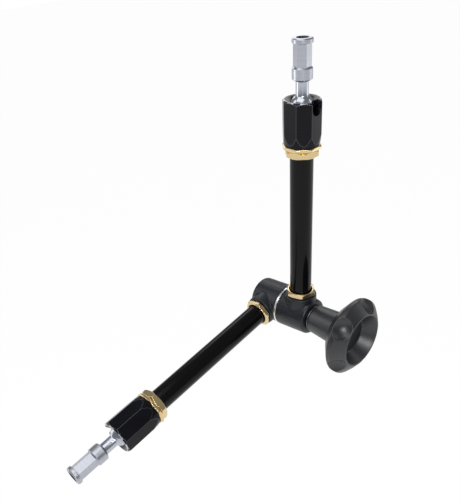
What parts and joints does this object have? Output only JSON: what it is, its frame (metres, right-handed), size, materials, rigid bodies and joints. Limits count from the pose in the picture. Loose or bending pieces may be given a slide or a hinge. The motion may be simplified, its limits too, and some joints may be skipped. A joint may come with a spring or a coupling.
{
  "type": "articulating friction arm",
  "caption": "Friction arm with a central locking knob at its elbow and a ball-jointed hexagonal spigot at each end, for holding a camera, lamp or monitor.",
  "frame": {"origin": "middle of the lower spigot's hexagon, on the spigot's axis, where a clamp or socket holds the arm", "axes": "+X along the elbow axis towards the locking knob, +Z along the upper arm, away from the elbow; the lower arm runs towards -Y and 10 degrees below it"},
  "size_m": [0.1161, 0.273, 0.2902],
  "materials": {
    "black_tube": "gloss black coating on aluminium tube",
    "anodised": "gloss black anodised aluminium, bright at its bevelled edges",
    "casting": "fine-grained matt blue-black powder coat on a casting",
    "knob": "satin grey-black moulded plastic",
    "cap": "satin black moulded plastic",
    "brass": "pale machined brass",
    "chrome": "bright chrome plate",
    "satin_steel": "satin chrome plate",
    "washer": "bright ground steel",
    "steel": "plain turned steel, hidden inside",
    "nylon": "natural nylon, hidden inside"
  },
  "bodies": {
    "lower_spigot_body": {"lower_spigot": "satin_steel"},
    "lower_stem": {"lower_ball_stem": "chrome"},
    "lower_head_body": {"lower_head": "anodised", "lower_pressure_cup": "steel"},
    "lower_arm": {"lower_hub": "casting", "lower_base_nut": "brass", "lower_tube": "black_tube", "lower_rod_guide": "nylon", "lower_head_lock_nut": "brass", "lower_head_collar": "brass", "bolt_key": "steel", "hub_end_cap": "cap", "friction_washer": "washer"},
    "lower_rod": {"lower_push_rod": "steel"},
    "tie_bolt_body": {"tie_bolt": "steel"},
    "upper_arm": {"upper_hub": "casting", "upper_base_nut": "brass", "upper_tube": "black_tube", "upper_rod_guide": "nylon", "upper_head_lock_nut": "brass", "upper_head_collar": "brass", "wedge_key": "steel"},
    "wedge": {"wedge_cone": "steel", "thrust_washer": "chrome"},
    "knob_body": {"knob": "knob", "knob_insert": "brass"},
    "upper_rod": {"upper_push_rod": "steel"},
    "upper_head_body": {"upper_head": "anodised", "upper_pressure_cup": "steel"},
    "upper_stem": {"upper_ball_stem": "chrome"},
    "upper_spigot_body": {"upper_spigot": "satin_steel"}
  },
  "joints": [
    {"name": "lower_stem_spin", "type": "hinge", "parent": "lower_spigot_body", "child": "lower_stem", "pos_m": [0, 0.03678, 0.00649], "axis": [0, -0.9848, -0.1736], "continuous": true},
    {"name": "lower_ball_tilt", "type": "hinge", "parent": "lower_stem", "child": "lower_head_body", "pos_m": [0, 0.03678, 0.00649], "axis": [0, -0.1736, 0.9848], "range_deg": [-30, 90]},
    {"name": "lower_head_turn", "type": "hinge", "parent": "lower_head_body", "child": "lower_arm", "pos_m": [0, 0.03678, 0.00649], "axis": [0, -0.9848, -0.1736], "range_deg": [-180, 180]},
    {"name": "elbow", "type": "hinge", "parent": "lower_arm", "child": "upper_arm", "pos_m": [0.0162, 0.22528, 0.03972], "axis": [1, 0, 0], "continuous": true},
    {"name": "bolt_slide", "type": "slide", "parent": "lower_arm", "child": "tie_bolt_body", "axis": [-1, 0, 0], "range_m": [0, 0.00075]},
    {"name": "lower_rod_slide", "type": "slide", "parent": "lower_arm", "child": "lower_rod", "axis": [0, 0.9848, 0.1736], "range_m": [0, 0.0003]},
    {"name": "wedge_slide", "type": "slide", "parent": "upper_arm", "child": "wedge", "axis": [1, 0, 0], "range_m": [0, 0.00075]},
    {"name": "knob_turn", "type": "hinge", "parent": "wedge", "child": "knob_body", "pos_m": [0.0162, 0.22528, 0.03972], "axis": [1, 0, 0], "range_deg": [0, 360]},
    {"name": "upper_rod_slide", "type": "slide", "parent": "upper_arm", "child": "upper_rod", "axis": [0, 0, -1], "range_m": [0, 0.0003]},
    {"name": "upper_head_turn", "type": "hinge", "parent": "upper_arm", "child": "upper_head_body", "pos_m": [0.0324, 0.22528, 0.23112], "axis": [0, 0, 1], "range_deg": [-180, 180]},
    {"name": "upper_ball_tilt", "type": "hinge", "parent": "upper_head_body", "child": "upper_stem", "pos_m": [0.0324, 0.22528, 0.23112], "axis": [0, 1, 0], "range_deg": [-30, 90]},
    {"name": "upper_stem_spin", "type": "hinge", "parent": "upper_stem", "child": "upper_spigot_body", "pos_m": [0.0324, 0.22528, 0.23112], "axis": [0, 0, 1], "continuous": true}
  ],
  "couplings": [
    {"joint": "bolt_slide", "follows": "knob_turn", "m_per_rad": 0.00011937},
    {"joint": "wedge_slide", "follows": "knob_turn", "m_per_rad": 0.00011937},
    {"joint": "lower_rod_slide", "follows": "knob_turn", "m_per_rad": 0.000047746},
    {"joint": "upper_rod_slide", "follows": "knob_turn", "m_per_rad": 0.000047746}
  ]
}
